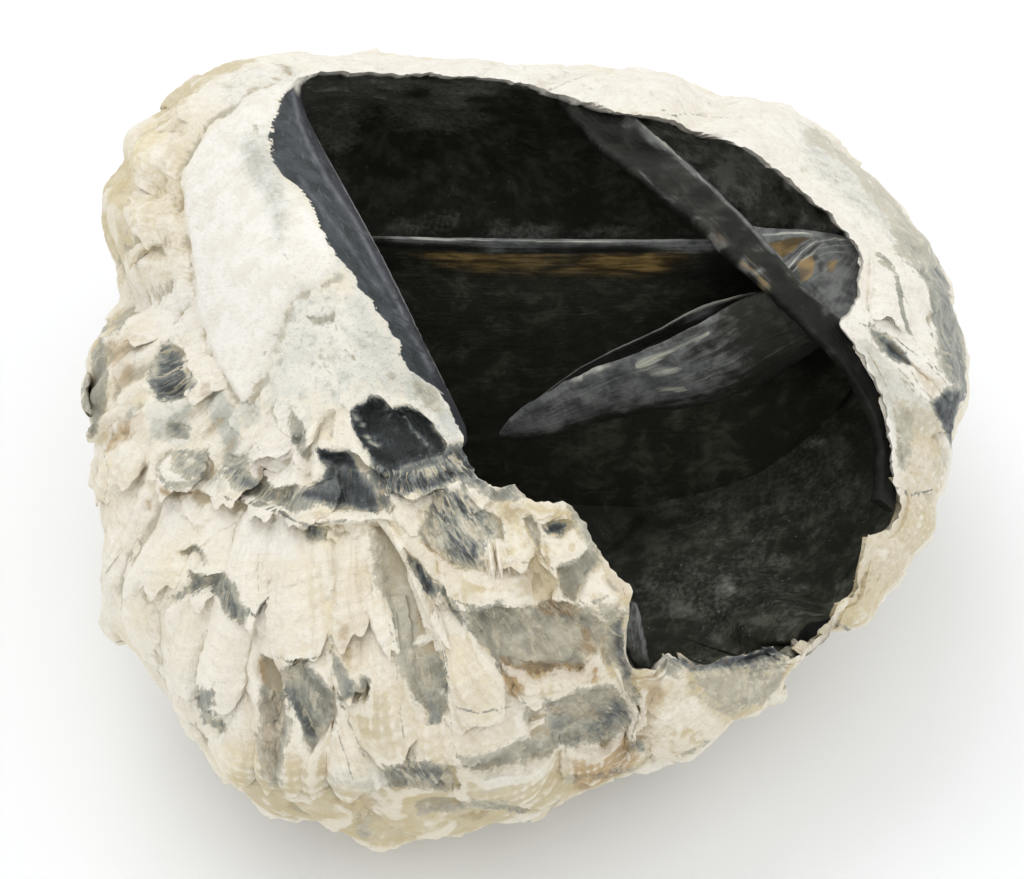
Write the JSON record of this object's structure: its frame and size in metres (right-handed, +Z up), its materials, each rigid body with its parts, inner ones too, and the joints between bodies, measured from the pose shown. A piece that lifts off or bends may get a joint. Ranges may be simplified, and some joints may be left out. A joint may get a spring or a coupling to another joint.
{
  "type": "brachiopod shell",
  "caption": "Silicified brachiopod shell, domed and scaly outside, broken open on a dark hollow crossed by a median septum, a trough of two blades and an arched band.",
  "frame": {"origin": "centre of the bounding box's footprint, on the worn flat that the shell rests on", "axes": "+Z up, out of the worn flat; +X towards the right end, where the septum, the trough and the band meet the wall; -Y towards the low front margin of the break"},
  "size_m": [0.0818, 0.0858, 0.0504],
  "materials": {
    "silica": "rough, chalky cream silica with glassy grey patches; near-black in the hollow"
  },
  "bodies": {
    "root": {"shell": "silica"}
  },
  "joints": []
}
